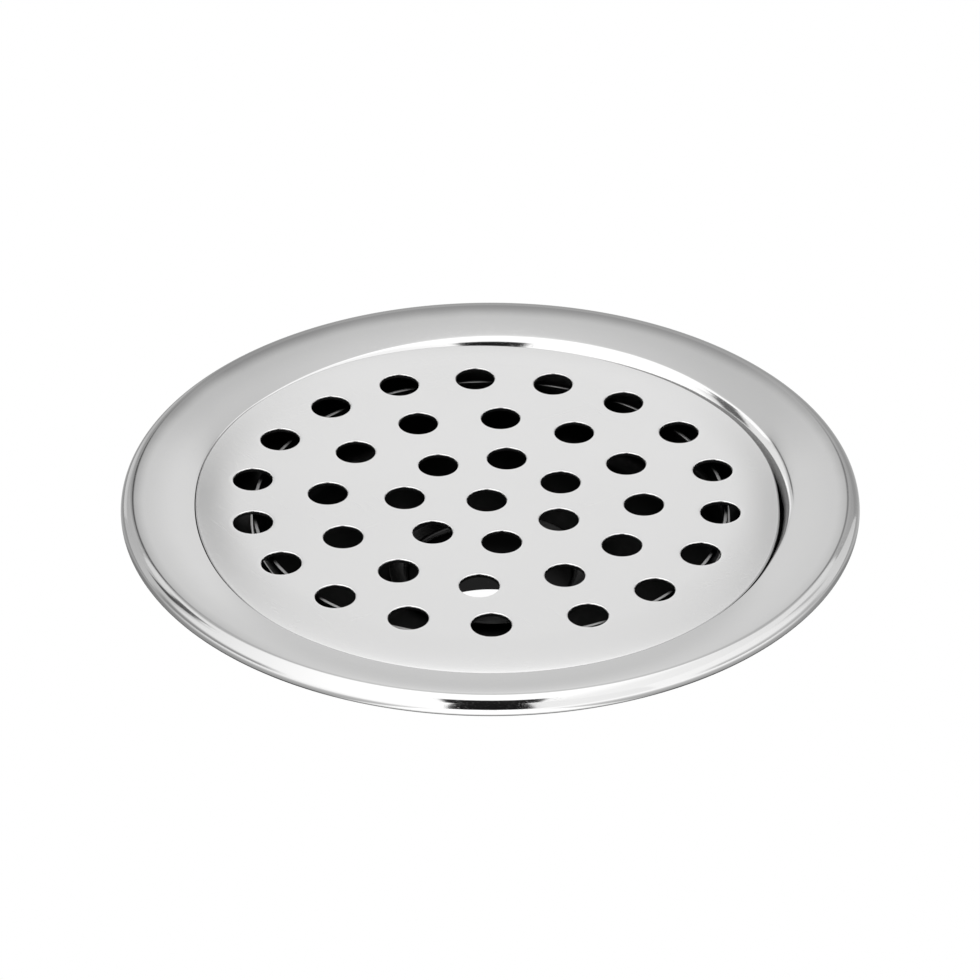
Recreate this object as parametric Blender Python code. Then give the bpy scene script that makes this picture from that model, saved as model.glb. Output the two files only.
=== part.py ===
"""Round stainless floor drain with a lift-out perforated grate.

Frame: +Z up, metres. The origin is on the drain's axis at the open end of its
outlet tube, the lowest point of the drain. The finished floor, which is also
the underside of the flange's hemmed edge, lies FLOOR_Z above it. Profile
heights are measured from that floor plane: the grate's top and the flange face
stand above it, the cup's floor and the outlet hang under it.
"""

from math import cos, hypot, pi, radians, sin, tan

import bmesh
import bpy
from mathutils import Matrix, Vector

MM = 0.001

# ---------------------------------------------------------------- dimensions
# millimetres and degrees; _R is a radius, _T a sheet thickness, _Z a height

FLOOR_Z = 23.0              # the finished floor plane above the origin
PIECE_GAP = 0.3             # clearance between neighbouring pieces

# flange ring, one pressed sheet
FLANGE_R = 55.1             # 110 mm nominal diameter
FLANGE_T = 0.7
ROLL_R = 2.0                # top radius of the rolled edge
HEM_R = 0.92                # radius that turns the edge under
HEM_W = 0.9                 # flat of the hem on the floor
FACE_SLOPE = 12.6           # the face falls towards the well
LIP_R = 1.9                 # rounding from the face into the well
WELL_R = 44.2               # well wall
WELL_FILLET = 0.4
LEDGE_Z = -1.4              # top of the seat ledge
LEDGE_R = 35.8              # hole in the ledge

# grate plate, one pressed and punched sheet
PLATE_R = 43.35
PLATE_T = 0.6
PLATE_Z = 2.1               # top face
PLATE_SHIFT_X = -0.55       # it lies over to one side of its well
SKIRT_H = 3.15              # turned-down edge, from the top face
CROWN_R0 = 36.5             # the flat field ends here
CROWN_SLOPE = 7.0           # slope of the border where it turns down
CORNER_R = 1.6
HOLE_D = 6.0
HOLE_SQUASH = 0.966         # the runs are shorter along Y
PUNCH_H = 4.0               # height of a punch, centred on the top face
# runs of holes, clockwise seen from above:
# centre x, centre y, run radius, count, angle of the first hole, pitch angle
HOLE_RUNS = (
    (-0.05, -1.25, 0.0, 1, 0.0, 0.0),
    (-0.14, -1.05, 12.17, 7, 75.3, 51.48),
    (-0.66, -1.39, 24.03, 6, 83.56, 28.69),
    (0.47, -0.81, 24.30, 6, 266.2, 29.89),
    (-0.52, -1.12, 35.39, 9, 92.16, 19.59),
    (-0.19, -0.38, 35.29, 9, 271.32, 19.90),
)

# drain cup, one drawn sheet
CUP_R = LEDGE_R - PIECE_GAP     # outside of the wall
CUP_T = 0.6
BEAD_R = 1.1                # half-round bead on the wall, under the ledge
CUP_FLOOR_Z = -12.3         # underside of the flat round the outlet
CUP_FALL = 4.0              # fall of the cup's floor towards the outlet
CUP_CORNER_R = 3.0
CUP_FLAT_R = 16.6           # outer radius of the flat round the outlet
CUP_HOLE_R = 13.1

# outlet tube
TUBE_R = 12.7               # outside
TUBE_T = 0.6
TUBE_END_Z = -FLOOR_Z
FLARE_R = 1.2               # rounding from the bore onto the flared rim
FLARE_OUT_R = 15.3          # outer radius of the flared rim

# rubber ring on the outlet tube
SEAL_IN_R = TUBE_R + PIECE_GAP
SEAL_BODY_R = 14.3
SEAL_LIP_R = 16.1
SEAL_Z0 = -20.6             # bottom of the ring
SEAL_LIPS = 2
SEAL_PITCH = 2.6
SEAL_BAND = 0.5             # plain band under each lip and above the last
# section of one lip: radius, height above the start of its pitch
SEAL_LIP_SECTION = (
    (SEAL_BODY_R, SEAL_BAND),
    (SEAL_LIP_R, 1.35),
    (SEAL_LIP_R - 0.15, 1.65),
    (SEAL_BODY_R, 1.35),
)

# segments round each piece
SEG_FLANGE = 60
SEG_PLATE = 60
SEG_CUP = 48
SEG_TUBE = 36
SEG_HOLE = 12

# mesh settings
SHARP_ANGLE = 35            # edges steeper than this are shaded sharp
FLAT_ANGLE = 0.1            # faces closer than this to coplanar are merged
SAME_POINT = 1e-4           # path points closer than this are one point
MERGE_DIST = 1e-7           # metres, vertices closer than this are welded
MITRE_MIN = 0.3             # least cosine used at a corner of an offset path


# ---------------------------------------------------------------- paths
# lists of (radius, height) points in millimetres

def arc(centre_r, centre_z, radius, start, end, steps):
    """Points of a circular arc between two angles in degrees."""
    points = []
    for i in range(steps + 1):
        angle = radians(start + (end - start) * i / steps)
        points.append((centre_r + radius * cos(angle),
                       centre_z + radius * sin(angle)))
    return points


def join_path(*parts):
    """Chain runs of points, dropping repeats where they meet."""
    path = []
    for part in parts:
        for x, z in part:
            if not path or hypot(x - path[-1][0], z - path[-1][1]) > SAME_POINT:
                path.append((x, z))
    return path


def offset_path(path, distance):
    """The path moved sideways, to the right of its direction of travel."""
    points = [Vector(point) for point in path]
    steps = [after - before for before, after in zip(points, points[1:])]
    normals = [Vector((step.y, -step.x)).normalized() for step in steps]
    moved = []
    # an end point has one neighbouring step, used on both of its sides
    for (x, z), before, after in zip(path, normals[:1] + normals,
                                     normals + normals[-1:]):
        mitre = (before + after).normalized()
        reach = distance / max(mitre.dot(before), MITRE_MIN)
        moved.append((x + mitre.x * reach, z + mitre.y * reach))
    return moved


def sheet_section(face, thickness):
    """The face and its offset, joined into the section of a sheet. A positive
    thickness lies to the right of the face's direction of travel."""
    return face + offset_path(face, thickness)[::-1]


# ---------------------------------------------------------------- meshes
def spin_profile(profile, segments, closed):
    """Spin a profile round +Z into a solid. An open one starts and ends on
    the axis."""
    bm = bmesh.new()
    verts = [bm.verts.new((r * MM, 0.0, (z + FLOOR_Z) * MM)) for r, z in profile]
    edges = [bm.edges.new(pair) for pair in zip(verts, verts[1:])]
    if closed:
        edges.append(bm.edges.new((verts[-1], verts[0])))
    bmesh.ops.spin(bm, geom=verts + edges, cent=(0, 0, 0), axis=(0, 0, 1),
                   angle=2 * pi, steps=segments, use_merge=True,
                   use_duplicate=False)
    bmesh.ops.remove_doubles(bm, verts=bm.verts, dist=MERGE_DIST)
    bmesh.ops.recalc_face_normals(bm, faces=bm.faces)
    if bm.calc_volume(signed=True) < 0:
        bmesh.ops.reverse_faces(bm, faces=bm.faces)
    return bm


def add_object(name, bm):
    """Turn a bmesh into a linked object and free it."""
    mesh = bpy.data.meshes.new(name)
    bm.to_mesh(mesh)
    bm.free()
    ob = bpy.data.objects.new(name, mesh)
    bpy.context.collection.objects.link(ob)
    return ob


def add_piece(name, bm, mat):
    """A product piece with its material, smooth with sharp corners."""
    ob = add_object(name, bm)
    ob.data.materials.append(mat)
    ob.data.shade_smooth()
    ob.data.set_sharp_from_angle(angle=radians(SHARP_ANGLE))
    return ob


def revolve(name, section, segments, mat):
    """A ring-shaped piece from a closed section."""
    return add_piece(name, spin_profile(section, segments, closed=True), mat)


# ---------------------------------------------------------------- profiles
def flange_face():
    """Upper surface of the flange, from the hem on the floor, over the rolled
    edge, down the sloping face and the lip, to the seat ledge."""
    slope = radians(FACE_SLOPE)
    hem_r = FLANGE_R - HEM_R
    roll_r = FLANGE_R - ROLL_R
    lip_r = WELL_R + LIP_R
    # the straight face runs between the tangent points of roll and lip
    face_out_r = roll_r - ROLL_R * sin(slope)
    face_out_z = HEM_R + ROLL_R * cos(slope)
    face_in_r = lip_r - LIP_R * sin(slope)
    face_in_z = face_out_z - (face_out_r - face_in_r) * tan(slope)
    lip_z = face_in_z - LIP_R * cos(slope)
    return join_path(
        [(hem_r - HEM_W, 0.0)],
        arc(hem_r, HEM_R, HEM_R, -90, 0, steps=3),
        arc(roll_r, HEM_R, ROLL_R, 0, 90 + FACE_SLOPE, steps=5),
        arc(lip_r, lip_z, LIP_R, 90 + FACE_SLOPE, 180, steps=4),
        arc(WELL_R - WELL_FILLET, LEDGE_Z + WELL_FILLET, WELL_FILLET,
            0, -90, steps=2),
        [(LEDGE_R, LEDGE_Z)],
    )


def plate_face():
    """Upper surface of the grate, from the edge of its flat field to the foot
    of its skirt."""
    slope = radians(CROWN_SLOPE)
    corner_r = PLATE_R - CORNER_R
    crown_end_r = corner_r + CORNER_R * sin(slope)
    crown_radius = (crown_end_r - CROWN_R0) / sin(slope)
    crown = arc(CROWN_R0, PLATE_Z - crown_radius, crown_radius,
                90, 90 - CROWN_SLOPE, steps=3)
    corner_z = crown[-1][1] - CORNER_R * cos(slope)
    return join_path(
        crown,
        arc(corner_r, corner_z, CORNER_R, 90 - CROWN_SLOPE, 0, steps=4),
        [(PLATE_R, PLATE_Z - SKIRT_H)],
    )


def cup_face():
    """Outside of the cup, from the rim under the grate down to the outlet."""
    slope = radians(CUP_FALL)
    rim_z = PLATE_Z - PLATE_T - PIECE_GAP
    bead_z = LEDGE_Z - FLANGE_T - PIECE_GAP - BEAD_R
    corner_r = CUP_R - CUP_CORNER_R
    # the sloping floor runs from the corner to the flat round the outlet
    floor_run = corner_r + CUP_CORNER_R * sin(slope) - CUP_FLAT_R
    floor_out_z = CUP_FLOOR_Z + floor_run * tan(slope)
    corner_z = floor_out_z + CUP_CORNER_R * cos(slope)
    return join_path(
        [(CUP_R, rim_z)],
        arc(CUP_R, bead_z, BEAD_R, 90, -90, steps=4),
        arc(corner_r, corner_z, CUP_CORNER_R, 0, -90 + CUP_FALL, steps=4),
        [(CUP_FLAT_R, CUP_FLOOR_Z), (CUP_HOLE_R, CUP_FLOOR_Z)],
    )


def tube_face():
    """Bore of the outlet tube, from the flared rim over the cup's floor to the
    open end."""
    rim_z = CUP_FLOOR_Z + CUP_T + PIECE_GAP + TUBE_T
    bore_r = TUBE_R - TUBE_T
    return join_path(
        [(FLARE_OUT_R, rim_z)],
        arc(bore_r + FLARE_R, rim_z - FLARE_R, FLARE_R, 90, 180, steps=3),
        [(bore_r, TUBE_END_Z)],
    )


def seal_section():
    """Section of the rubber ring: a plain bore and a row of outer lips."""
    top = SEAL_Z0 + SEAL_LIPS * SEAL_PITCH + SEAL_BAND
    lips = [(r, SEAL_Z0 + i * SEAL_PITCH + z)
            for i in range(SEAL_LIPS) for r, z in SEAL_LIP_SECTION]
    return [(SEAL_IN_R, SEAL_Z0), (SEAL_BODY_R, SEAL_Z0), *lips,
            (SEAL_BODY_R, top), (SEAL_IN_R, top)]


# ---------------------------------------------------------------- pieces
def make_flange(mat):
    section = sheet_section(flange_face(), -FLANGE_T)
    revolve("flange_ring", section, SEG_FLANGE, mat)


def make_cup(mat):
    section = sheet_section(cup_face(), CUP_T)
    revolve("drain_cup", section, SEG_CUP, mat)


def make_tube(mat):
    section = sheet_section(tube_face(), -TUBE_T)
    revolve("outlet_tube", section, SEG_TUBE, mat)


def make_seal(mat):
    revolve("outlet_seal", seal_section(), SEG_TUBE, mat)


def hole_centres():
    centres = []
    for x, y, radius, count, first, pitch in HOLE_RUNS:
        for k in range(count):
            angle = radians(first - k * pitch)
            centres.append((x + radius * cos(angle),
                            y + HOLE_SQUASH * radius * sin(angle)))
    return centres


def make_punches():
    """Hidden cylinders that cut the grate's holes."""
    bm = bmesh.new()
    for x, y in hole_centres():
        place = Vector((x, y, PLATE_Z + FLOOR_Z)) * MM
        bmesh.ops.create_cone(
            bm, cap_ends=True, cap_tris=False, segments=SEG_HOLE,
            radius1=HOLE_D / 2 * MM, radius2=HOLE_D / 2 * MM,
            depth=PUNCH_H * MM, matrix=Matrix.Translation(place))
    punches = add_object("punch_pattern", bm)
    punches.hide_render = True
    punches.display_type = "WIRE"
    return punches


def make_plate(mat):
    sheet = sheet_section(plate_face(), PLATE_T)
    profile = [(0.0, PLATE_Z), *sheet, (0.0, PLATE_Z - PLATE_T)]
    bm = spin_profile(profile, SEG_PLATE, closed=False)
    # merge the spun wedges of the flat field
    bmesh.ops.dissolve_limit(bm, angle_limit=radians(FLAT_ANGLE),
                             use_dissolve_boundaries=False,
                             verts=bm.verts, edges=bm.edges)
    plate = add_piece("grate_plate", bm, mat)
    punches = make_punches()
    for ob in (plate, punches):
        ob.location.x = PLATE_SHIFT_X * MM
    cut = plate.modifiers.new("punched_holes", "BOOLEAN")
    cut.operation = "DIFFERENCE"
    cut.solver = "EXACT"
    cut.object = punches


# ---------------------------------------------------------------- materials
def material(name, colour, roughness, metallic):
    mat = bpy.data.materials.new(name)
    mat.use_nodes = True
    mat.diffuse_color = (*colour, 1.0)
    shader = mat.node_tree.nodes["Principled BSDF"]
    shader.inputs["Base Color"].default_value = (*colour, 1.0)
    shader.inputs["Roughness"].default_value = roughness
    shader.inputs["Metallic"].default_value = metallic
    return mat


def stainless(finish, grey, roughness):
    return material(f"{finish}_stainless", colour=(grey, grey, grey),
                    roughness=roughness, metallic=1.0)


def black_rubber():
    return material("black_rubber", colour=(0.02, 0.02, 0.02),
                    roughness=0.7, metallic=0.0)


def clear_scene():
    for ob in list(bpy.data.objects):
        bpy.data.objects.remove(ob, do_unlink=True)


def main():
    clear_scene()
    make_flange(stainless("polished", grey=0.80, roughness=0.16))
    make_plate(stainless("satin", grey=0.78, roughness=0.22))
    make_cup(stainless("drawn", grey=0.62, roughness=0.32))
    make_tube(stainless("tube", grey=0.66, roughness=0.30))
    make_seal(black_rubber())


main()
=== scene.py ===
"""Round stainless floor drain: a rolled flange ring, a punched grate, the cup
under it, a flared outlet tube and a rubber seal, in a light tent.

The drain's axis is the frame's Z, with +Y to the back and +X to the right.
Sizes are in mm, and heights are measured from the finished floor plane, which
lies FLOOR_Z above the frame's origin. Objects are built in metres.
"""

from functools import cached_property
from math import cos, hypot, pi, radians, sin, tan

import bmesh
import bpy
import numpy as np
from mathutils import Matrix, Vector
from mathutils.geometry import delaunay_2d_cdt


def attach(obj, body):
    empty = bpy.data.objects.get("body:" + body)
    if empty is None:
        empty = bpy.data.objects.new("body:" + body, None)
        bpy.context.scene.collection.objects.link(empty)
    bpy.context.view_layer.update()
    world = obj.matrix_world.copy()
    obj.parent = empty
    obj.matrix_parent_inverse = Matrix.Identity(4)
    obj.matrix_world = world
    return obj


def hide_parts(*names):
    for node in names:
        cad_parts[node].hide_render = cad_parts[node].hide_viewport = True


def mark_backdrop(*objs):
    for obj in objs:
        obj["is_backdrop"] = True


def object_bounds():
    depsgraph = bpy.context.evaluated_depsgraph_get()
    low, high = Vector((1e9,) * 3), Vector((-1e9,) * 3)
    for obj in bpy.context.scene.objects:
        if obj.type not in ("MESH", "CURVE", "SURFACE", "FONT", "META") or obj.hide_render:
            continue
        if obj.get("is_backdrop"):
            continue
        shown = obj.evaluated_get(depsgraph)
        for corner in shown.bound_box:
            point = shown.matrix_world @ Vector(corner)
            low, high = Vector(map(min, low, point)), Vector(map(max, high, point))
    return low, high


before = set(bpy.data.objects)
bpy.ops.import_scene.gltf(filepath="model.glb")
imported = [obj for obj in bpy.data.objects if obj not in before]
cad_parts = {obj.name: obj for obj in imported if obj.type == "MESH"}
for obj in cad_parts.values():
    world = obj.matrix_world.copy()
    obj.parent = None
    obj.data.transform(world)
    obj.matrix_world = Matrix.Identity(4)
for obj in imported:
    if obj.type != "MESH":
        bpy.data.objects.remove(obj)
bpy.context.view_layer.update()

MM = 0.001

# ------------------------------------------------------------ dimensions, mm
FLOOR_Z = 23.0
SHEET_EDGE_R = 0.14         # rounding of the raw edges of the turned sheets

FLANGE_R, FLANGE_T = 55.1, 0.7
ROUND_OUT = 1.0065          # the rim is a touch longer along Y
ROLL_R = 2.0                # rounding of the rim's upper side
HEM_R, HEM_W = 0.92, 0.9    # rounding of its lower side, width turned in below
HEM_START_W = 0.3           # first step of the turned-in width
FACE_SLOPE = 12.6           # degrees, falling inwards
FACE_BOW = 3.0              # degrees, flatter by this outside, steeper inside
FACE_STEPS, LIP_STEPS = 24, 24
FILLET_STEPS, LEDGE_STEPS = 6, 4
WELL_FILLET = 0.4
LEDGE_Z, LEDGE_R = -1.4, 35.8
# the lip's bends: share of the lip's radius, slope in degrees where each ends
LIP_BENDS = ((0.6, 40.0), (1.4, 62.0), (0.5, 90.0))
LIP_BACK_R = 0.85           # least lip radius that can be offset
# the well is a little off centre, with a rounder lip on one side:
# azimuth in degrees, radius where the face ends, radius of the lip
WELL_FORM = (
    (-180, 44.18, 0.14), (-165, 44.22, 0.14), (-150, 44.75, 0.14),
    (-135, 45.45, 0.14), (-120, 45.85, 0.14), (-105, 46.00, 0.14),
    (-75, 46.00, 0.14), (-60, 45.80, 0.14), (-45, 45.30, 0.16),
    (-30, 44.80, 0.40), (-20, 44.60, 1.10), (-10, 45.00, 2.30),
    (0, 45.40, 3.10), (15, 45.60, 3.30), (30, 45.90, 3.30),
    (45, 46.20, 3.00), (60, 46.50, 3.10), (75, 46.60, 3.00),
    (90, 46.50, 2.60), (105, 46.10, 2.20), (120, 45.60, 1.50),
    (135, 45.20, 0.80), (150, 45.00, 0.45), (165, 44.60, 0.25),
    (180, 44.18, 0.14),
)

PLATE_R, PLATE_T, PLATE_Z = 43.67, 0.6, 1.6
PLATE_SHIFT = (-0.49, 0.0)  # of the punched field, along X and Y
PLATE_TILT = 0.011          # rise per mm towards the back
PLATE_FIELD_R, PLATE_BORDER_R = 37.5, 43.0  # the field blends into the border
SKIRT_H, CORNER_R, SKIRT_EDGE_R = 2.45, 0.24, 0.12
CROWN_R0, CROWN_SLOPE = 36.5, 7.0           # start of the crown, slope at its end
CROWN_END = PLATE_R - CORNER_R + CORNER_R * sin(radians(CROWN_SLOPE))
CROWN_RAD = (CROWN_END - CROWN_R0) / sin(radians(CROWN_SLOPE))
# the turned-down edge follows the well: azimuth in degrees, radius
PLATE_FORM = (
    (-180, 44.00), (-165, 44.04), (-150, 44.56), (-135, 45.15), (-120, 45.20),
    (-90, 45.20), (-75, 45.20), (-60, 45.20), (-45, 44.95), (-35, 44.60),
    (-25, 44.10), (-15, 43.60), (0, 43.10), (15, 43.20), (30, 43.20),
    (45, 43.05), (60, 42.90), (75, 43.05), (90, 43.40), (105, 43.85),
    (120, 44.40), (135, 44.50), (150, 44.60), (165, 44.36), (180, 44.00),
)
HOLE_R = 3.0
HOLE_SQUASH = 0.951         # the pattern is shorter along Y
HOLE_NUDGE_X, HOLE_NUDGE_Y = 0.03, 0.58
# runs of holes, clockwise from above: the run's centre on the plate (x, y),
# its radius, count, angle of the first hole and pitch in degrees
HOLE_RUNS = (
    (-0.05, -1.25, 0.0, 1, 0.0, 0.0),
    (-0.14, -1.05, 12.17, 7, 75.3, 51.48),
    (-0.66, -1.39, 24.03, 6, 83.56, 28.69),
    (0.47, -0.81, 24.30, 6, 266.2, 29.89),
    (-0.52, -1.12, 35.39, 9, 92.16, 19.59),
    (-0.19, -0.38, 35.29, 9, 271.32, 19.90),
)
# mesh rings round a hole: distance outside its edge, drop of the top face
HOLE_RINGS = ((0.0, 0.14), (0.012, 0.085), (0.04, 0.035), (0.09, 0.010),
              (0.20, 0.001), (0.75, 0.0))
HOLE_POINTS, RIM_POINTS = 56, 360
HOLE_CLEAR = 1.15           # field points keep this far from a hole's edge
# spacing of the field's mesh points: between rings, along a ring
FINE_R = CROWN_R0 - 1.0
FINE_GRID, COARSE_GRID = (0.55, 1.0), (1.35, 1.5)
FIELD_LEAST_R = 1.0

CUP_R, CUP_T, CUP_TOP_Z = 35.5, 0.6, 0.25   # top clear of the tilted grate
BEAD_R, BEAD_GAP, BEAD_SWEEP = 1.1, 0.3, 0.25
CUP_FLOOR_Z, CUP_CORNER_R = -12.3, 3.0
CUP_FALL = 4.0              # degrees, falling inwards
CUP_FLAT_R, CUP_HOLE_R = 16.6, 13.1

TUBE_R, TUBE_T, TUBE_END_Z = 12.7, 0.6, -23.0
FLARE_R, FLARE_OUT_R = 1.2, 15.3
FLARE_GAP = 0.3             # above the cup's floor

SEAL_IN_R, SEAL_BODY_R, SEAL_LIP_R = 13.0, 14.3, 16.1
SEAL_Z0, SEAL_LIPS, SEAL_PITCH = -20.6, 2, 2.6
SEAL_EDGE_R, SEAL_TIP_R, SEAL_TOP_H = 0.12, 0.15, 0.5


# ------------------------------------------------------------ profile helpers
# Profiles are lists of (radius, height); angles are in degrees.
def arc(centre_r, centre_z, radius, start, end, steps):
    out = []
    for i in range(steps + 1):
        a = radians(start + (end - start) * i / steps)
        out.append((centre_r + radius * cos(a), centre_z + radius * sin(a)))
    return out


def line(start, end, steps):
    return [(start[0] + (end[0] - start[0]) * i / steps,
             start[1] + (end[1] - start[1]) * i / steps)
            for i in range(steps + 1)]


def join_path(*parts):
    """The parts in a row, without repeated points."""
    out = []
    for part in parts:
        for p in part:
            if not out or hypot(p[0] - out[-1][0], p[1] - out[-1][1]) > 1e-4:
                out.append(p)
    return out


def offset_path(path, distance):
    """The path moved sideways, to the right of its direction of travel."""
    out = []
    for i, p in enumerate(path):
        before = path[max(i - 1, 0)]
        after = path[min(i + 1, len(path) - 1)]
        arriving = Vector((p[0] - before[0], p[1] - before[1]))
        leaving = Vector((after[0] - p[0], after[1] - p[1]))
        if arriving.length < 1e-9:
            arriving = leaving
        if leaving.length < 1e-9:
            leaving = arriving
        normal = Vector((arriving.y, -arriving.x)).normalized()
        next_normal = Vector((leaving.y, -leaving.x)).normalized()
        mitre = (normal + next_normal).normalized()
        k = distance / max(mitre.dot(normal), 0.3)
        out.append((p[0] + mitre.x * k, p[1] + mitre.y * k))
    return out


def end_cap(face_end, back_end, outward, edge_r, steps=3):
    """Rounded raw edge of a sheet between its face and its back; outward
    points off the end of the sheet."""
    face_end, back_end = Vector(face_end), Vector(back_end)
    out_dir = Vector(outward).normalized()
    across = (back_end - face_end).normalized()
    out = []
    for centre, first, last in (
            (face_end - out_dir * edge_r + across * edge_r, -across, out_dir),
            (back_end - out_dir * edge_r - across * edge_r, out_dir, across)):
        for i in range(steps + 1):
            a = pi / 2 * i / steps
            out.append(tuple(centre + first * edge_r * cos(a)
                             + last * edge_r * sin(a)))
    return out


def sheet_loop(face, thickness, run=None):
    """Closed section of a sheet with the face given, or with its back offset
    from another run. Returns the loop and the index where the face ends."""
    back = offset_path(run or face, thickness)
    tail = end_cap(face[-1], back[-1],
                   (face[-1][0] - face[-2][0], face[-1][1] - face[-2][1]),
                   SHEET_EDGE_R)
    head = end_cap(back[0], face[0],
                   (face[0][0] - face[1][0], face[0][1] - face[1][1]),
                   SHEET_EDGE_R)
    return list(face[1:-1]) + tail + back[-2:0:-1] + head, len(face) - 2


def form(table, column, azimuth):
    """A column of a form table at an azimuth in degrees: a cubic through the
    neighbours, so the outline has no kinks."""
    t = (azimuth + 180.0) % 360.0 - 180.0
    angles = [row[0] for row in table]
    values = [row[column] for row in table]
    n = len(table) - 1
    i = max(k for k in range(n) if angles[k] <= t)
    before = values[i - 1] if i else values[n - 1]
    after = values[i + 2] if i + 2 <= n else values[1]
    start, end = values[i], values[i + 1]
    u = (t - angles[i]) / (angles[i + 1] - angles[i])
    slope0, slope1 = (end - before) / 2, (after - start) / 2
    return ((2 * u ** 3 - 3 * u ** 2 + 1) * start
            + (u ** 3 - 2 * u ** 2 + u) * slope0
            + (3 * u ** 2 - 2 * u ** 3) * end + (u ** 3 - u ** 2) * slope1)


# ------------------------------------------------------------ profiles
def flange_face(azimuth, back=False):
    """Upper surface of the flange at one azimuth, from under the rim round to
    the ledge. Its back is offset from the same run with a lip that is round
    enough to be offset."""
    slope, inner_slope = FACE_SLOPE, FACE_SLOPE + FACE_BOW
    rim = FLANGE_R * (1 + (ROUND_OUT - 1) * sin(radians(azimuth)) ** 2)
    roll_r, hem_r = rim - ROLL_R, rim - HEM_R
    out_r = roll_r - ROLL_R * sin(radians(slope))
    out_z = HEM_R + ROLL_R * cos(radians(slope))

    lip_r = form(WELL_FORM, 2, azimuth)
    in_r = form(WELL_FORM, 1, azimuth)
    bends, start = [], inner_slope
    for share, end in LIP_BENDS:
        bends.append((lip_r * share, start, end))
        start = end
    well_r = in_r - sum(radius * (sin(radians(a1)) - sin(radians(a0)))
                        for radius, a0, a1 in bends)
    if back:
        lip_r = max(lip_r, LIP_BACK_R)
        bends = [(lip_r, inner_slope, 90.0)]
        in_r = well_r + lip_r * (1 - sin(radians(inner_slope)))

    # the face is slightly crowned, so its slope changes evenly along it
    run = out_r - in_r
    in_z = out_z - run * tan(radians(slope))
    bow = run * tan(radians(FACE_BOW)) / 4
    face = []
    for i in range(FACE_STEPS + 1):
        u = i / FACE_STEPS
        z = out_z + (in_z - out_z) * u
        face.append((out_r - run * u, z + 4 * bow * u * (1 - u)))

    lip = [(in_r, in_z)]
    for radius, a0, a1 in bends:
        centre_r = lip[-1][0] + radius * sin(radians(a0)) * -1 \
            if False else lip[-1][0] + radius * sin(radians(a0))
        centre_z = lip[-1][1] - radius * cos(radians(a0))
        lip += arc(centre_r, centre_z, radius, 90 + a0, 90 + a1,
                   LIP_STEPS // len(bends))[1:]

    fillet_r = well_r - WELL_FILLET
    return ([(hem_r - HEM_W, 0.0), (hem_r - HEM_W + HEM_START_W, 0.0)]
            + arc(hem_r, HEM_R, HEM_R, -90, 0, 14)
            + arc(roll_r, HEM_R, ROLL_R, 0, 90 + slope - FACE_BOW, 32)[1:]
            + face[1:]
            + lip[1:]
            + arc(fillet_r, LEDGE_Z + WELL_FILLET, WELL_FILLET,
                  0, -90, FILLET_STEPS)
            + line((fillet_r, LEDGE_Z), (LEDGE_R, LEDGE_Z), LEDGE_STEPS)[1:])


def plate_top(r):
    """Height of the grate's top at a radius: a flat field, then the crown."""
    if r <= CROWN_R0:
        return PLATE_Z
    d = min(r, CROWN_END) - CROWN_R0
    return PLATE_Z - CROWN_RAD + (CROWN_RAD ** 2 - d ** 2) ** 0.5


def plate_edge():
    """Top surface of the grate from the end of the crown to the skirt's foot."""
    corner_z = plate_top(CROWN_END) - CORNER_R * cos(radians(CROWN_SLOPE))
    return join_path(
        arc(PLATE_R - CORNER_R, corner_z, CORNER_R, 90 - CROWN_SLOPE, 0, 20),
        line((PLATE_R, corner_z), (PLATE_R, PLATE_Z - SKIRT_H), 3),
    )


def cup_face():
    """Outside of the cup, from its top edge down to the hole in its floor."""
    bead_z = LEDGE_Z - FLANGE_T - BEAD_GAP - BEAD_R
    sweep_r = CUP_R + BEAD_SWEEP
    sweep_top = bead_z + BEAD_R + BEAD_SWEEP
    sweep_foot = bead_z - BEAD_R - BEAD_SWEEP
    fall = radians(CUP_FALL)
    corner_r = CUP_R - CUP_CORNER_R
    run = corner_r + CUP_CORNER_R * sin(fall) - CUP_FLAT_R
    corner_z = CUP_FLOOR_Z + run * tan(fall) + CUP_CORNER_R * cos(fall)
    corner = arc(corner_r, corner_z, CUP_CORNER_R, 0, -90 + CUP_FALL, 14)
    return join_path(
        line((CUP_R, CUP_TOP_Z), (CUP_R, sweep_top), 6),
        # the bead leaves the wall through a small sweep
        arc(sweep_r, sweep_top, BEAD_SWEEP, 180, 250, 4),
        arc(CUP_R, bead_z, BEAD_R, 78, -78, 16),
        arc(sweep_r, sweep_foot, BEAD_SWEEP, 110, 180, 4),
        line((CUP_R, sweep_foot), (CUP_R, corner_z), 4),
        corner,
        line(corner[-1], (CUP_FLAT_R, CUP_FLOOR_Z), 8),
        line((CUP_FLAT_R, CUP_FLOOR_Z), (CUP_HOLE_R, CUP_FLOOR_Z), 3),
    )


def tube_face():
    """Top of the flare and the bore below it."""
    top = CUP_FLOOR_Z + CUP_T + FLARE_GAP + TUBE_T
    bore_r = TUBE_R - TUBE_T
    return join_path(
        line((FLARE_OUT_R, top), (bore_r + FLARE_R, top), 3),
        arc(bore_r + FLARE_R, top - FLARE_R, FLARE_R, 90, 180, 12),
        line((bore_r, top - FLARE_R), (bore_r, TUBE_END_Z), 10),
    )


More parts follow.
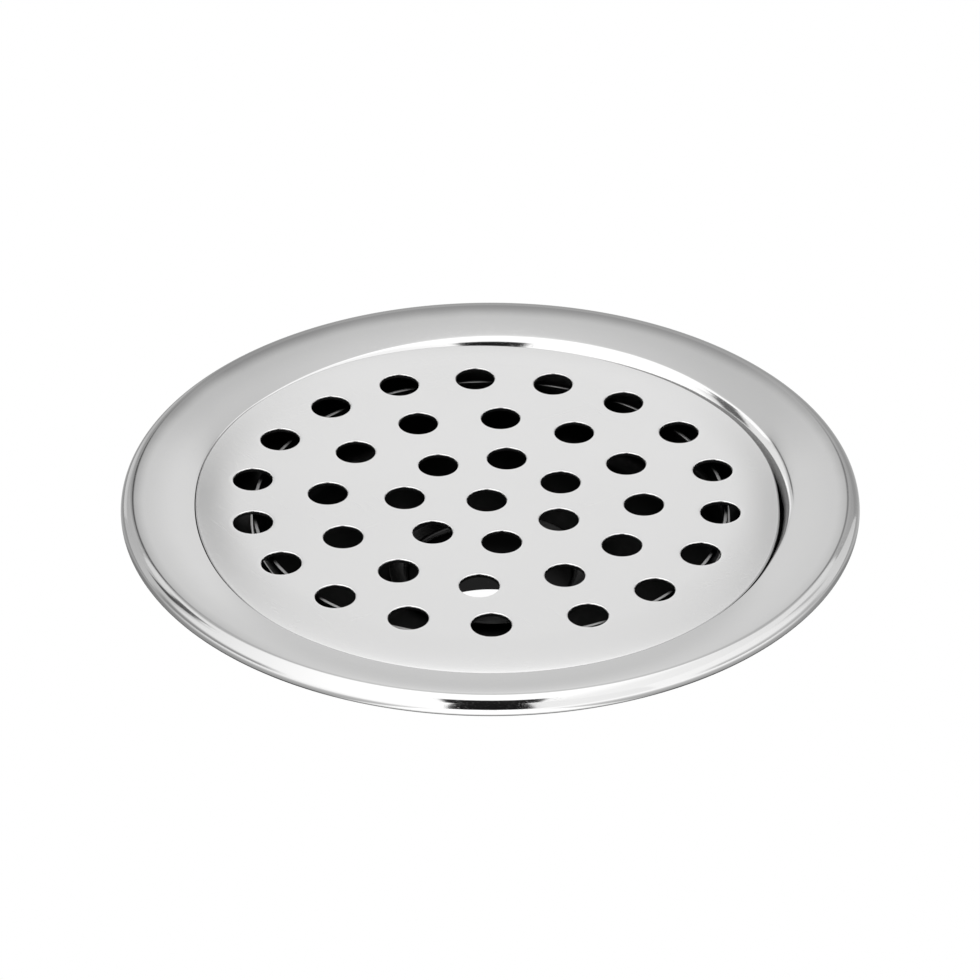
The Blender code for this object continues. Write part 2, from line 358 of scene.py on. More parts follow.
def seal_loop():
    """Section of the rubber ring: a plain bore, lips with round tips."""
    e = SEAL_EDGE_R
    points = arc(SEAL_IN_R + e, SEAL_Z0 + e, e, 180, 270, 3)
    points += arc(SEAL_BODY_R - e, SEAL_Z0 + e, e, -90, 0, 3)
    z = SEAL_Z0
    for _ in range(SEAL_LIPS):
        # sloped underside, tip, then the upper side back to the body
        points += [(SEAL_BODY_R, z + 0.42), (SEAL_BODY_R + 0.1, z + 0.54),
                   (SEAL_LIP_R - 0.22, z + 1.27)]
        points += arc(SEAL_LIP_R - SEAL_TIP_R, z + 1.47, SEAL_TIP_R, -55, 120, 6)
        points += [(SEAL_BODY_R + 0.12, z + 1.40), (SEAL_BODY_R, z + 1.48)]
        z += SEAL_PITCH
    top = z + SEAL_TOP_H
    points += arc(SEAL_BODY_R - e, top - e, e, 0, 90, 3)
    points += arc(SEAL_IN_R + e, top - e, e, 90, 180, 3)
    return points


# ------------------------------------------------------------ mesh helpers
def smooth(value, start, end):
    u = np.clip((value - start) / (end - start), 0.0, 1.0)
    return u * u * (3 - 2 * u)


def wave(x, y, seed, length, octaves=3):
    """Smooth, repeatable unevenness between about -1 and 1."""
    rng = np.random.default_rng(seed)
    out = np.zeros_like(x)
    amplitude = 1.0
    for _ in range(octaves):
        for _ in range(4):
            a, phase = rng.uniform(0, 2 * pi, 2)
            k = 2 * pi / length * rng.uniform(0.7, 1.3)
            out += amplitude * np.sin(k * (x * cos(a) + y * sin(a)) + phase)
        amplitude *= 0.45
        length *= 0.5
    return out / 5.0


def add_object(name, data):
    ob = bpy.data.objects.new(name, data)
    bpy.context.scene.collection.objects.link(ob)
    return ob


def to_object(name, verts, faces, materials, face_slots, sharp):
    """Smooth-shaded object with outward normals; edges over `sharp` degrees
    stay sharp."""
    me = bpy.data.meshes.new(name)
    me.from_pydata([tuple(v) for v in verts], [], faces)
    me.validate()
    for m in materials:
        me.materials.append(m)
    me.polygons.foreach_set("material_index", np.array(face_slots, np.int32))
    bm = bmesh.new()
    bm.from_mesh(me)
    bmesh.ops.recalc_face_normals(bm, faces=bm.faces)
    if bm.calc_volume(signed=True) < 0:
        bmesh.ops.reverse_faces(bm, faces=bm.faces)
    bm.to_mesh(me)
    bm.free()
    me.shade_smooth()
    me.set_sharp_from_angle(angle=radians(sharp))
    return add_object(name, me)


def revolve(name, sections, materials, slots=None, uneven=None):
    """Closed loops turned round +Z, one for each azimuth. slots gives the
    material's index for each point of a loop; uneven moves the heights."""
    n = len(sections)
    rz = np.array(sections)                   # azimuth, point, (r, z)
    radius, z = rz[:, :, 0].T, rz[:, :, 1].T
    azimuth = np.arange(n) * 2 * pi / n
    x, y = radius * np.cos(azimuth), radius * np.sin(azimuth)
    if uneven is not None:
        z = uneven(x, y, z)
    verts = np.stack([x, y, z + FLOOR_Z], -1).reshape(-1, 3) * MM
    m = len(radius)
    faces, face_slots = [], []
    for i in range(m):
        i2 = (i + 1) % m
        for j in range(n):
            j2 = (j + 1) % n
            faces.append((i * n + j, i * n + j2, i2 * n + j2, i2 * n + j))
        face_slots.extend([slots[i] if slots else 0] * n)
    return to_object(name, verts, faces, materials, face_slots, sharp=40)


# ------------------------------------------------------------ grate mesh
def hole_centres():
    out = []
    for x, y, radius, count, first, pitch in HOLE_RUNS:
        for k in range(count):
            a = radians(first - k * pitch)
            out.append((HOLE_NUDGE_X + x + radius * cos(a),
                        HOLE_NUDGE_Y + y + HOLE_SQUASH * radius * sin(a)))
    return np.array(out)


def nearest_hole(holes, x, y):
    return np.min(np.hypot(holes[:, 0] - x, holes[:, 1] - y))


def ring_points(x, y, radius, count, shift=0.0):
    """Points on a circle, turned by a share of their spacing."""
    angles = [2 * pi * (j + shift) / count for j in range(count)]
    return [(x + radius * cos(a), y + radius * sin(a)) for a in angles]


def ring_edges(base, count):
    return [(base + j, base + (j + 1) % count) for j in range(count)]


def plate_points(holes):
    """Mesh points of the sheet seen from above, how far each one drops, the
    edges to keep, and the index where the rim's points start."""
    points, drops, edges = [], [], []
    for x, y in holes:
        for k, (distance, drop) in enumerate(HOLE_RINGS):
            if k < len(HOLE_RINGS) - 1:
                edges += ring_edges(len(points), HOLE_POINTS)
            points += ring_points(x, y, HOLE_R + distance, HOLE_POINTS,
                                  0.5 * (k % 2))
            drops += [drop] * HOLE_POINTS
    rim_start = len(points)
    points += ring_points(0.0, 0.0, CROWN_END, RIM_POINTS)
    edges += ring_edges(rim_start, RIM_POINTS)
    # field points on rings, kept away from the holes
    r, k = CROWN_END, 0
    while True:
        r -= (FINE_GRID if r > FINE_R else COARSE_GRID)[0]
        if r < FIELD_LEAST_R:
            break
        k += 1
        spacing = (FINE_GRID if r > FINE_R else COARSE_GRID)[1]
        count = max(8, int(round(2 * pi * r / spacing)))
        points += [p for p in ring_points(0.0, 0.0, r, count, 0.5 * (k % 2))
                   if nearest_hole(holes, *p) > HOLE_R + HOLE_CLEAR]
    drops += [0.0] * (len(points) - rim_start)
    return points, drops, edges, rim_start


def cut_sheet():
    """The punched sheet from above: point places, drops, triangles, and the
    indices of the rim's points in order."""
    holes = hole_centres()
    points, drops, edges, rim_start = plate_points(holes)
    out = delaunay_2d_cdt([Vector(p) for p in points], edges, [], 0, 1e-6, True)
    places, triangles, origins = out[0], out[2], out[3]
    drop = np.zeros(len(places))
    rim_index = {}
    for i, sources in enumerate(origins):
        for s in sources:
            drop[i] = max(drop[i], drops[s])
            if rim_start <= s < rim_start + RIM_POINTS:
                rim_index[s - rim_start] = i
    xy = np.array([tuple(c) for c in places])
    kept = [tuple(t) for t in triangles
            if nearest_hole(holes, *xy[list(t)].mean(0)) > HOLE_R - 0.02]
    return xy, drop, kept, [rim_index[j] for j in range(RIM_POINTS)]


def hole_walls(triangles, rim, under):
    """Walls between the faces at boundary edges that aren't on the rim."""
    count = {}
    for t in triangles:
        for a, b in ((t[0], t[1]), (t[1], t[2]), (t[2], t[0])):
            key = (min(a, b), max(a, b))
            count[key] = count.get(key, 0) + 1
    rim_set = set(rim)
    return [(a, b, b + under, a + under) for (a, b), c in count.items()
            if c == 1 and not (a in rim_set and b in rim_set)]


def shape_plate(verts):
    """Fits the border to the edge's own outline, shifts the punched field and
    tilts the whole plate."""
    far = smooth(np.hypot(verts[:, 0], verts[:, 1]), PLATE_FIELD_R, PLATE_BORDER_R)
    azimuth = np.round(np.degrees(np.arctan2(verts[:, 1], verts[:, 0])), 4)
    outline = {a: form(PLATE_FORM, 1, a) for a in set(azimuth)}
    stretch = np.array([outline[a] for a in azimuth]) / PLATE_R
    for i, shift in enumerate(PLATE_SHIFT):
        verts[:, i] = ((verts[:, i] + shift) * (1 - far)
                       + verts[:, i] * stretch * far)
    verts[:, 2] += PLATE_TILT * verts[:, 1] + FLOOR_Z


def make_plate(name, materials):
    """One sheet with round punched holes, their upper edges rounded, and a
    turned-down skirt. The materials are for faces, hole walls and skirt."""
    xy, drop, triangles, rim = cut_sheet()
    # sheet unevenness, a hundredth of a millimetre or so
    dz = 0.010 * wave(xy[:, 0], xy[:, 1], seed=5, length=34.0)
    z = np.array([plate_top(r) for r in np.hypot(xy[:, 0], xy[:, 1])]) + dz
    # the under face follows the crown a sheet's thickness down
    verts = (list(np.column_stack([xy, z - drop]))
             + list(np.column_stack([xy, z - PLATE_T])))
    under = len(xy)
    faces = triangles + [(a + under, c + under, b + under)
                         for a, b, c in triangles]
    slots = [0] * len(faces)
    walls = hole_walls(triangles, rim, under)
    faces += walls
    slots += [1] * len(walls)

    # corner and skirt, outside and inside, one sheet with a rounded foot
    outer = plate_edge()
    inner = offset_path(outer, PLATE_T)
    foot = end_cap(outer[-1], inner[-1], (0.0, -1.0), SKIRT_EDGE_R)
    rows = [rim]
    for r, height in outer[1:-1] + foot + inner[-2:0:-1]:
        base = len(verts)
        verts += [(x, y, height + dz[i]) for (x, y), i in
                  zip(ring_points(0.0, 0.0, r, RIM_POINTS), rim)]
        rows.append(range(base, base + RIM_POINTS))
    rows.append([i + under for i in rim])
    for a, b in zip(rows[:-1], rows[1:]):
        for j in range(RIM_POINTS):
            j2 = (j + 1) % RIM_POINTS
            faces.append((a[j], a[j2], b[j2], b[j]))
    slots += [2] * (len(faces) - len(slots))
    verts = np.array(verts)
    shape_plate(verts)
    return to_object(name, verts * MM, faces, materials, slots, sharp=38)


# ------------------------------------------------------------ shader helpers
class Graph:
    """Short calls for building a node tree. Coordinates are in mm, with z
    from the floor plane, and their nodes are made when first asked for.

    A term is a socket, a number, or a (socket, factor) pair."""

    def __init__(self, tree, on_stage=False):
        self.tree = tree
        self.on_stage = on_stage
        tree.nodes.clear()

    def node(self, kind, **props):
        n = self.tree.nodes.new(kind)
        for k, v in props.items():
            setattr(n, k, v)
        return n

    def put(self, socket, value):
        if hasattr(value, "is_output"):
            self.tree.links.new(value, socket)
        else:
            socket.default_value = value

    # ---- coordinates
    @cached_property
    def geometry(self):
        return self.node("ShaderNodeNewGeometry")

    @cached_property
    def position(self):
        """World position on the stage, object position elsewhere."""
        if self.on_stage:
            source = self.geometry.outputs["Position"]
        else:
            source = self.node("ShaderNodeTexCoord").outputs["Object"]
        n = self.node("ShaderNodeVectorMath", operation="SCALE")
        self.put(n.inputs[0], source)
        n.inputs["Scale"].default_value = 1000.0
        return n.outputs["Vector"]

    @cached_property
    def axes(self):
        return self.split(self.position)

    @property
    def x(self):
        return self.axes[0]

    @property
    def y(self):
        return self.axes[1]

    @cached_property
    def z(self):
        return self.sub(self.axes[2], FLOOR_Z)

    @cached_property
    def radius(self):
        return self.math("SQRT", self.add(self.mul(self.x, self.x),
                                          self.mul(self.y, self.y)))

    @cached_property
    def cos(self):
        return self.math("DIVIDE", self.x, self.radius)

    @cached_property
    def sin(self):
        return self.math("DIVIDE", self.y, self.radius)

    # ---- sums
    def math(self, op, a, b=0.0):
        n = self.node("ShaderNodeMath", operation=op)
        for socket, value in zip(n.inputs, (a, b, 0.0)):
            self.put(socket, value)
        return n.outputs[0]

    def add(self, a, b):
        return self.math("ADD", a, b)

    def sub(self, a, b):
        return self.math("SUBTRACT", a, b)

    def mul(self, a, b):
        return self.math("MULTIPLY", a, b)

    def size(self, a):
        return self.math("ABSOLUTE", a)

    def term(self, item):
        return self.mul(*item) if isinstance(item, tuple) else item

    def total(self, *terms):
        out = self.term(terms[0])
        for t in terms[1:]:
            out = self.add(out, self.term(t))
        return out

    def product(self, *items):
        out = items[0]
        for i in items[1:]:
            out = self.mul(out, i)
        return out

    def ramp(self, x, start, end, first=0.0, last=1.0, smooth=True):
        """first at start, last at end, eased between and held outside; start
        may be above end."""
        if start > end:
            start, end, first, last = end, start, last, first
        n = self.node("ShaderNodeMapRange", clamp=True,
                      interpolation_type="SMOOTHSTEP" if smooth else "LINEAR")
        self.put(n.inputs["Value"], x)
        n.inputs["From Min"].default_value = start
        n.inputs["From Max"].default_value = end
        n.inputs["To Min"].default_value = first
        n.inputs["To Max"].default_value = last
        return n.outputs["Result"]

    def band(self, x, start, end, soft):
        """1 between start and end, 0 outside, eased over soft either way."""
        return self.mul(self.ramp(x, start - soft, start + soft),
                        self.ramp(x, end + soft, end - soft))

    def mix(self, factor, a, b):
        """a at factor 0, b at factor 1, numbers."""
        n = self.node("ShaderNodeMix", data_type="FLOAT")
        for i, value in ((0, factor), (2, a), (3, b)):
            self.put(n.inputs[i], value)
        return n.outputs[0]

    def dim(self, mask, level):
        """A multiplier: 1 off the mask, level on it."""
        return self.mix(mask, 1.0, level)

    # ---- vectors and textures
    def split(self, vector):
        n = self.node("ShaderNodeSeparateXYZ")
        self.put(n.inputs[0], vector)
        return n.outputs[0], n.outputs[1], n.outputs[2]

    def vec(self, *terms):
        n = self.node("ShaderNodeCombineXYZ")
        for socket, t in zip(n.inputs, terms):
            self.put(socket, self.term(t))
        return n.outputs[0]

    def noise(self, vector, scale, detail, rough):
        n = self.node("ShaderNodeTexNoise")
        self.put(n.inputs["Vector"], vector)
        n.inputs["Scale"].default_value = scale
        n.inputs["Detail"].default_value = detail
        n.inputs["Roughness"].default_value = rough
        return n.outputs["Fac"]

    def ring_noise(self, along, around, pitch, detail, rough):
        """Noise with its own frequency round the axis and its own along a
        coordinate."""
        return self.noise(self.vec((self.cos, around), (self.sin, around),
                                   (along, pitch)), 1.0, detail, rough)

    def hairlines(self, angle, across, along, cut, seed):
        """Sparse straight scratches: 1 on a hairline."""
        n = self.node("ShaderNodeMapping")
        n.inputs["Rotation"].default_value = (0, 0, angle)
        n.inputs["Location"].default_value = (seed, seed * 0.7, 0)
        self.put(n.inputs["Vector"], self.position)
        x, y, z = self.split(n.outputs[0])
        lines = self.noise(self.vec((x, along), (y, across), (z, across)),
                           scale=1.0, detail=1.0, rough=0.4)
        return self.ramp(lines, cut, cut + 0.035)

    def scratches(self, first, second):
        """Two sets of hairlines, each given as its angle in radians, frequency
        across and along, noise level where they start, and offset."""
        return self.math("MAXIMUM", self.hairlines(*first),
                         self.hairlines(*second))

    # ---- shaders
    def camera_ray(self):
        return self.node("ShaderNodeLightPath").outputs["Is Camera Ray"]

    def emission(self, strength):
        n = self.node("ShaderNodeEmission")
        self.put(n.inputs["Strength"], strength)
        return n.outputs[0]

    def output(self, shader, kind="ShaderNodeOutputMaterial"):
        self.put(self.node(kind).inputs[0], shader)

    def finish(self, value, warm, rough, relief, strength, depth, metallic=1.0):
        """Nearly neutral surface: brightness, warmth of its tint, roughness,
        and a bump from relief."""
        colour = self.node("ShaderNodeCombineColor")
        self.put(colour.inputs[0], self.mul(value, 1.0 + warm))
        self.put(colour.inputs[1], value)
        self.put(colour.inputs[2], self.mul(value, 1.0 - warm))
        bump = self.node("ShaderNodeBump")
        self.put(bump.inputs["Height"], relief)
        bump.inputs["Strength"].default_value = strength
        bump.inputs["Distance"].default_value = depth
        n = self.node("ShaderNodeBsdfPrincipled")
        self.put(n.inputs["Base Color"], colour.outputs[0])
        self.put(n.inputs["Metallic"], metallic)
        self.put(n.inputs["Roughness"], rough)
        self.put(n.inputs["Normal"], bump.outputs["Normal"])
        self.output(n.outputs[0])


def new_material(name, level, on_stage=False):
    """A material with a grey viewport colour, and its graph."""
    m = bpy.data.materials.new(name)
    m.use_nodes = True
    m.diffuse_color = (level, level, level, 1.0)
    return m, Graph(m.node_tree, on_stage)


# ------------------------------------------------------------ materials
# In the sums below a bare number is the base level and each pair is a pattern
# with its weight.
def steel_polished():
    """Bright rolled flange: mirror roll, faint turned polish on the face."""
    m, g = new_material("polished_steel", 0.82)
    polish = g.ring_noise(g.add(g.radius, g.z), around=9.0, pitch=16.0,
                          detail=4.0, rough=0.65)
    fine = g.ring_noise(g.add(g.radius, g.z), around=26.0, pitch=60.0,
                        detail=2.0, rough=0.6)
    cloud = g.noise(g.position, scale=0.055, detail=4.0, rough=0.55)
    spots = g.noise(g.position, scale=1.6, detail=3.0, rough=0.6)
    lines = g.scratches((0.5, 9.0, 0.10, 0.69, 3.0), (2.1, 8.0, 0.12, 0.70, 11.0))
    rough = g.total((cloud, 0.055), (polish, 0.045),
                    (g.ramp(spots, 0.62, 0.75), 0.03), (lines, 0.10), 0.028)
    # painted shade: the edge is darker than the face, from a radius that wanders a little
    wander = g.add(g.radius, g.mul(g.sub(cloud, 0.5), 1.2))
    back_shift = g.ramp(g.sin, 0.0, 1.0, first=0.8, last=0.0)
    edge = g.ramp(g.sub(wander, back_shift), 50.6, 53.3)
    # the edge's painted shade, set separately towards the back, the front and the left
    edge_level = g.total(
        g.ramp(g.sin, 0.0, 1.0, first=0.66, last=0.54, smooth=False),
        g.ramp(g.sin, -1.0, 0.0, first=0.40, last=0.0, smooth=False),
        g.ramp(g.cos, -0.9, -0.3, first=-0.14, last=0.0))
    # a wider, weaker painted shade, strongest on the left
    outer_level = g.ramp(g.cos, -1.0, 0.0, first=0.86, last=0.95)
    painted_edge_shade = g.mul(g.dim(edge, edge_level),
                    g.dim(g.ramp(wander, 46.5, 52.5), outer_level))
    # painted shade: the base is a little darker to the left and right, most on the right
    base = g.total(0.79, (g.cos, -0.03), (g.size(g.cos), -0.035),
                   (cloud, -0.03), (polish, -0.02))
    g.finish(value=g.mul(painted_edge_shade, base), warm=0.002, rough=rough,
             relief=g.total((polish, 0.5), (fine, 0.35), (lines, -0.6)),
             strength=0.05, depth=0.00004)
    return m


def steel_satin(name, level):
    """Grate sheet: even satin with a very fine straight grain along X."""
    m, g = new_material(name, level)
    grain = g.noise(g.vec((g.x, 1.1), (g.y, 22.0), (g.z, 22.0)),
                    scale=1.0, detail=3.0, rough=0.6)
    orange_peel = g.noise(g.position, scale=2.6, detail=3.0, rough=0.55)
    cloud = g.noise(g.position, scale=0.05, detail=4.0, rough=0.55)
    lines = g.scratches((0.9, 8.0, 0.10, 0.70, 5.0), (2.6, 9.0, 0.09, 0.71, 17.0))
    g.finish(value=g.total(level, (cloud, -0.03), (orange_peel, -0.015)),
             warm=0.002,
             rough=g.total(0.19, (cloud, 0.07), (grain, 0.05), (lines, 0.02)),
             relief=g.total((grain, 0.5), (orange_peel, 0.5), (lines, -0.10)),
             strength=0.06, depth=0.00005)
    return m


def drawn_surface(g, level, shade, cloud_shade, rough, cloud_rough):
    """Vertical drawing streaks and cloudy marks. level is multiplied by shade
    plus the patterns."""
    streaks = g.ring_noise(g.z, around=150.0, pitch=0.35, detail=3.0, rough=0.6)
    turned = g.ring_noise(g.radius, around=5.0, pitch=9.0, detail=3.0, rough=0.6)
    cloud = g.noise(g.position, scale=0.12, detail=5.0, rough=0.6)
    g.finish(value=g.mul(level, g.total(shade, (cloud, cloud_shade),
                                        (streaks, 0.10))),
             warm=0.004,
             rough=g.total(rough, (cloud, cloud_rough), (streaks, 0.08)),
             relief=g.total((streaks, 0.7), (turned, 0.3)),
             strength=0.12, depth=0.00008)


def steel_drawn():
    """Outside of the deep-drawn cup."""
    level = 0.70
    m, g = new_material("drawn_steel", level)
    drawn_surface(g, level, shade=0.86, cloud_shade=0.16,
                  rough=0.20, cloud_rough=0.16)
    return m


def steel_shaded():
    """Sheet that only gets the light let in past the grate: near-black painted shade, from
    ambient occlusion, where it is covered, plain drawn steel where it lies open."""
    covered, bare = 0.014, 0.55
    m, g = new_material("drawn_steel_inside", bare)
    ao = g.node("ShaderNodeAmbientOcclusion", samples=6, only_local=False)
    ao.inputs["Distance"].default_value = 0.025
    openness = g.ramp(ao.outputs["AO"], 0.62, 0.96)
    # the covered level is painted shade, opened up by the ambient occlusion
    drawn_surface(g, g.mix(openness, covered, bare), shade=0.82,
                  cloud_shade=0.22, rough=0.30, cloud_rough=0.14)
    return m


def steel_punched():
    """Wall of a punched hole with a torn texture; its near-black colour is painted shade.
    """
    m, g = new_material("punched_steel", 0.2)
    torn = g.noise(g.vec((g.x, 3.0), (g.y, 3.0), (g.z, 1.2)),
                   scale=1.0, detail=4.0, rough=0.6)
    cloud = g.noise(g.position, scale=0.5, detail=3.0, rough=0.6)
    # the near-black level is painted shade in the holes; the torn texture varies it
    g.finish(value=g.total(0.02, (cloud, 0.03), (torn, 0.04)), warm=0.003,
             rough=g.total(0.34, (torn, 0.2)), relief=torn,
             strength=0.2, depth=0.00008)
    return m


def steel_tube():
    """Outlet tube: turned marks round it."""
    m, g = new_material("tube_steel", 0.72)
    turned = g.ring_noise(g.add(g.z, g.radius), around=3.0, pitch=11.0,
                          detail=4.0, rough=0.65)
    cloud = g.noise(g.position, scale=0.16, detail=4.0, rough=0.6)
    # painted shade over the flare and down the bore
    bore = g.ramp(g.radius, TUBE_R - 0.35, TUBE_R - 0.5)
    painted_shade = g.mul(g.mix(g.ramp(g.z, -13.2, -12.4), bore, 1.0),
                  g.ramp(g.z, -21.0, -14.0, first=0.25, last=0.93))
    unshaded = g.total(0.62, (cloud, 0.10), (turned, 0.06))
    g.finish(value=g.mul(g.sub(1.0, painted_shade), unshaded), warm=0.003,
             rough=g.total(0.12, (cloud, 0.16), (turned, 0.08)), relief=turned,
             strength=0.15, depth=0.00006)
    return m


def rubber():
    """Black rubber with a patchy pale bloom."""
    m, g = new_material("seal_rubber", 0.02)
    fine = g.noise(g.position, scale=5.5, detail=4.0, rough=0.6)
    dust = g.noise(g.position, scale=0.5, detail=5.0, rough=0.65)
    bloom = g.ramp(dust, 0.48, 0.72)
    g.finish(value=g.total(0.014, (bloom, 0.022), (fine, 0.006)), warm=0.01,
             rough=g.total(0.46, (bloom, 0.22), (fine, 0.10)), relief=fine,
             strength=0.25, depth=0.00012, metallic=0.0)
    return m


# ------------------------------------------------------------ pieces
def fit(ob, rides, replaces):
    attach(ob, rides)
    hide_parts(replaces)


def flange_uneven(x, y, z):
    """The pressed sheet isn't perfectly flat; its underside stays put."""
    waves = wave(x, y, seed=11, length=46.0, octaves=2)
    return z + 0.012 * waves * np.clip(z - 0.3, 0, 1)


def flange(polished, shaded):
    n = 432
    sections = [sheet_loop(flange_face(360.0 * j / n), -FLANGE_T,
                           run=flange_face(360.0 * j / n, back=True))
                for j in range(n)]
    loops = [loop for loop, _ in sections]
    # the well's fillet and the ledge are shaded
    face_end = sections[0][1]
    well_start = face_end - (FILLET_STEPS + 1 + LEDGE_STEPS)
    slots = [int(well_start <= i <= face_end) for i in range(len(loops[0]))]
    ob = revolve("flange_ring_sheet", loops, [polished, shaded], slots,
                 flange_uneven)
    fit(ob, "drain_body", "flange_ring")


def grate(satin, punched):
    # the skirt gets the satin sheet darkened to 0.42, a painted shade on the grate's edge
    ob = make_plate("grate_plate_sheet",
                    [satin, punched, steel_satin("satin_edge_painted_shade", level=0.42)])
    fit(ob, "grate", "grate_plate")


def cup(drawn, shaded, punched):
    """Shaded inside and above the flange's ledge; the third slot is spare."""
    loop, face_end = sheet_loop(cup_face(), CUP_T)
    slots = [int(i > face_end or z > LEDGE_Z) for i, (_, z) in enumerate(loop)]
    ob = revolve("drain_cup_shell", [loop] * 288, [drawn, shaded, punched], slots)
    fit(ob, "drain_body", "drain_cup")


def tube(steel):
    loop, _ = sheet_loop(tube_face(), -TUBE_T)
    ob = revolve("outlet_tube_flared", [loop] * 216, [steel])
    fit(ob, "drain_body", "outlet_tube")


def seal(black):
    ob = revolve("outlet_seal_ring", [seal_loop()] * 216, [black])
    fit(ob, "drain_body", "outlet_seal")


def build():
    polished = steel_polished()
    satin = steel_satin("satin_steel", level=0.905)
    drawn = steel_drawn()
    shaded = steel_shaded()
    punched = steel_punched()
    tube_steel = steel_tube()
    black = rubber()
    flange(polished, shaded)
    grate(satin, punched)
    cup(drawn, shaded, punched)
    tube(tube_steel)
    seal(black)


# ------------------------------------------------------------ studio
# a small light tent, mm from the frame's axis and from the floor plane
TENT_SIDE, TENT_BACK, TENT_FRONT, TENT_TOP = 350.0, 350.0, 350.0, 300.0
TENT_FOOT = -60.0
GLOW = 1.42                 # brightest cloth
FILL = 0.78                 # bare tent cloth


# Each panel returns its glow; masks are placed in mm.
def panel_back(g):
    rise = g.add(g.ramp(g.z, 75.0, 135.0, first=0.72, last=0.87),
                 g.ramp(g.z, 240.0, 300.0, first=0.0, last=-0.12))
    # two dark upright bars, left and right, above the lower part
    bars = g.total((g.band(g.x, -138.0, -87.0, soft=30.0), -0.86),
                   (g.band(g.x, 90.0, 142.0, soft=32.0), -0.62))
    # fading to the sides, brighter at the far left
    side = g.total(g.ramp(g.size(g.x), 40.0, 260.0, first=1.0, last=0.80),
                   (g.ramp(g.x, -165.0, -215.0), 0.42))
    low_left = g.mul(g.ramp(g.x, -95.0, -140.0), g.ramp(g.z, 130.0, 80.0))
    barred = g.add(1.0, g.mul(bars, g.ramp(g.z, 170.0, 192.0)))
    return g.total(g.product(rise, side, barred), (low_left, 0.50))


def panel_top(g):
    # plainer cloth in the middle of the back
    bare = g.mul(g.ramp(g.y, 175.0, 215.0), g.ramp(g.size(g.x), 190.0, 130.0))
    # dark slot at the front; its half width grows forwards and to the right
    half = g.total(g.ramp(g.y, -100.0, -330.0, first=50.0, last=84.0, smooth=False),
                   (g.ramp(g.x, -5.0, 5.0), 8.0))
    slot = g.mul(g.ramp(g.y, -124.0, -150.0),
                 g.ramp(g.sub(g.size(g.x), half), 4.0, -4.0))
    back_left = g.mul(g.ramp(g.x, -230.0, -270.0),
                      g.band(g.y, 120.0, 215.0, soft=20.0))
    level = g.mix(bare, GLOW, g.ramp(g.y, 205.0, 300.0, first=FILL, last=0.72))
    return g.product(level, g.dim(back_left, 0.15),
                     g.ramp(g.x, 40.0, 150.0, first=1.0, last=0.84),
                     g.dim(slot, 0.01))


def side_panel(g, level, gap, gap_level, low, low_level):
    """level darkened by a gap high up towards the back and by a low strip."""
    low = g.mul(low, g.band(g.y, -200.0, 90.0, soft=50.0))
    return g.product(level, g.dim(gap, gap_level), g.dim(low, low_level))


def panel_left(g):
    return side_panel(
        g, level=g.ramp(g.y, 90.0, 30.0, first=1.05, last=GLOW),
        gap=g.mul(g.band(g.y, 105.0, 205.0, soft=16.0), g.ramp(g.z, 150.0, 190.0)),
        gap_level=0.15, low=g.ramp(g.z, 110.0, 20.0), low_level=0.34)


def panel_right(g):
    return side_panel(
        g, level=g.ramp(g.y, 110.0, 20.0, first=1.10, last=1.28),
        gap=g.mul(g.band(g.y, 110.0, 190.0, soft=20.0), g.ramp(g.z, 160.0, 200.0)),
        gap_level=0.70, low=g.ramp(g.z, 100.0, 15.0), low_level=0.55)


def panel_front(g):
    slot = g.ramp(g.size(g.x), 74.0, 66.0)
    level = g.ramp(g.x, -60.0, 60.0, first=GLOW, last=1.12)
    return g.mul(level, g.dim(slot, 0.008))


def floor_material():
    """White to the camera; other rays meet a glowing table top with painted light,
    brighter towards the front, and a painted shadow under and round the drain. Clear from
    below."""
    m, g = new_material("pale_floor", 1, on_stage=True)
    table = g.mul(g.ramp(g.radius, 30.0, 85.0, first=0.06, last=1.0),
                  g.ramp(g.y, -80.0, 80.0, first=1.45, last=0.62))
    # the shade round the rim is deeper off the middle, towards the front
    sides = g.mul(g.ramp(g.size(g.x), 26.0, 38.0), g.ramp(g.y, 45.0, 15.0))
    middle_shade = g.ramp(g.radius, 55.0, 63.0, first=0.50, last=1.0)
    side_shade = g.add(g.ramp(g.radius, 55.5, 62.0, first=0.08, last=0.40),
                       g.ramp(g.radius, 85.0, 170.0, first=0.0, last=0.5))
    glow = g.mul(table, g.mix(sides, middle_shade, side_shade))
    mixed = g.node("ShaderNodeMixShader")
    g.put(mixed.inputs[0], g.geometry.outputs["Backfacing"])
    g.put(mixed.inputs[1], g.emission(g.mix(g.camera_ray(), glow, 1.0)))
    g.put(mixed.inputs[2], g.node("ShaderNodeBsdfTransparent").outputs[0])
    g.output(mixed.outputs[0])
    return m


def studio_floor(z):
    """Square floor at a height, both in metres."""
    me = bpy.data.meshes.new("studio_floor")
    s = 4.0
    me.from_pydata([(-s, -s, z), (s, -s, z), (s, s, z), (-s, s, z)], [],
                   [(0, 1, 2, 3)])
    ob = add_object("studio_floor", me)
    me.materials.append(floor_material())
    return ob


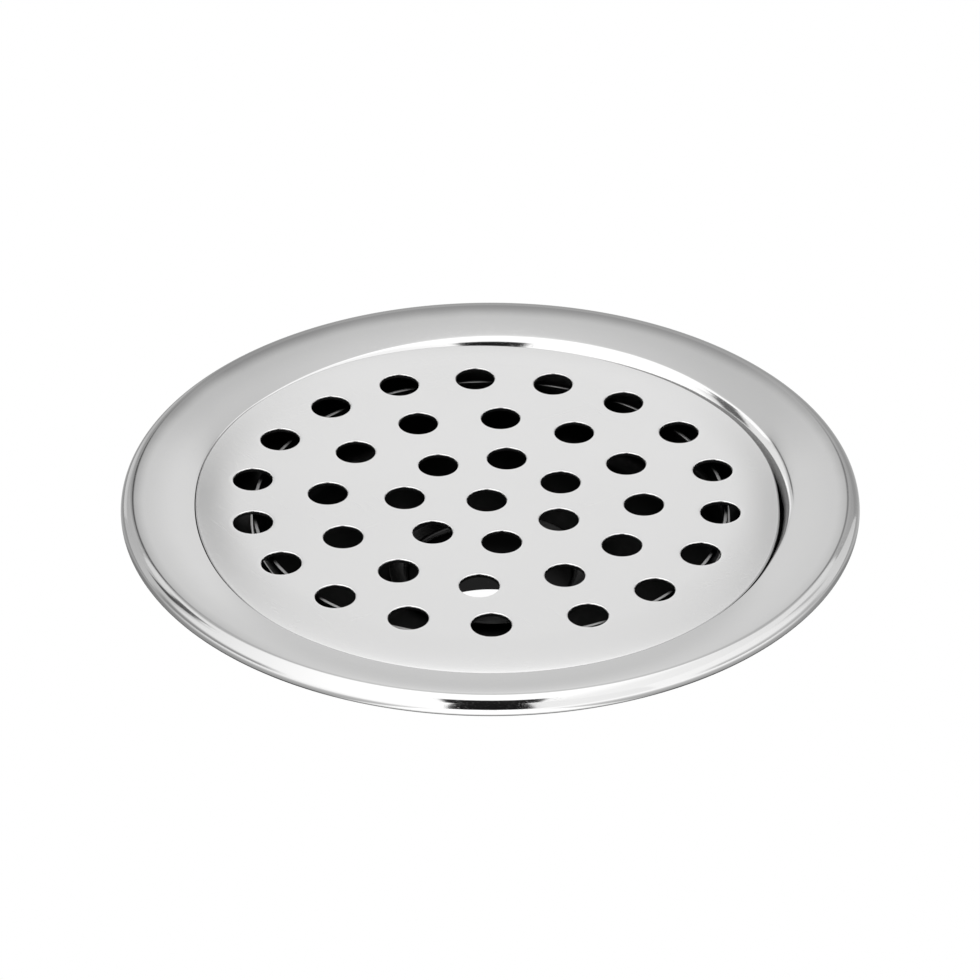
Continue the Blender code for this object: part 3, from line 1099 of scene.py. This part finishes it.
def light_tent():
    """Four walls and a top that glow inwards, hidden from the camera."""
    corners = [(x, y, z) for z in (TENT_FOOT, TENT_TOP)
               for x, y in ((-TENT_SIDE, -TENT_FRONT), (TENT_SIDE, -TENT_FRONT),
                            (TENT_SIDE, TENT_BACK), (-TENT_SIDE, TENT_BACK))]
    panels = (("front", panel_front, (0, 1, 5, 4)),
              ("right", panel_right, (1, 2, 6, 5)),
              ("back", panel_back, (2, 3, 7, 6)),
              ("left", panel_left, (3, 0, 4, 7)),
              ("top", panel_top, (4, 5, 6, 7)))
    me = bpy.data.meshes.new("light_tent")
    me.from_pydata([(x * MM, y * MM, (z + FLOOR_Z) * MM) for x, y, z in corners],
                   [], [face for _, _, face in panels])
    for i, (name, glow, _) in enumerate(panels):
        m, g = new_material("tent_" + name, 1, on_stage=True)
        g.output(g.emission(glow(g)))
        me.materials.append(m)
        me.polygons[i].material_index = i
    ob = add_object("light_tent", me)
    ob.visible_camera = False
    return ob


def studio():
    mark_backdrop(studio_floor(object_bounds()[0].z), light_tent())
    world = bpy.data.worlds.new("studio_air")
    world.use_nodes = True
    g = Graph(world.node_tree)
    n = g.node("ShaderNodeBackground")
    # full strength to the camera, weak as a light
    g.put(n.inputs["Strength"], g.mix(g.camera_ray(), 0.3, 1.0))
    g.output(n.outputs[0], "ShaderNodeOutputWorld")
    scene = bpy.context.scene
    scene.world = world
    scene.view_settings.view_transform = "Standard"
    scene.view_settings.look = "None"
    scene.view_settings.exposure = 0.0
    scene.view_settings.gamma = 1.0


# ------------------------------------------------------------ camera
ELEVATION = 32.8            # degrees above the floor plane, from the front
DISTANCE = 968.5            # mm
LENS, SENSOR = 238.8, 36.0  # mm
AIM = (-0.0391, -0.642855, 3.352444)    # mm, z from the floor plane


def camera():
    elevation = radians(ELEVATION)
    look = Vector((0.0, cos(elevation), -sin(elevation)))
    aim = Vector((AIM[0], AIM[1], AIM[2] + FLOOR_Z))
    cam = bpy.data.cameras.new("photo_view")
    cam.lens = LENS
    cam.sensor_width = SENSOR
    cam.clip_start, cam.clip_end = 0.02, 60.0
    ob = add_object("photo_view", cam)
    ob.location = (aim - look * DISTANCE) * MM
    ob.rotation_euler = (radians(90.0 - ELEVATION), 0.0, 0.0)
    bpy.context.scene.camera = ob


build()
studio()
camera()
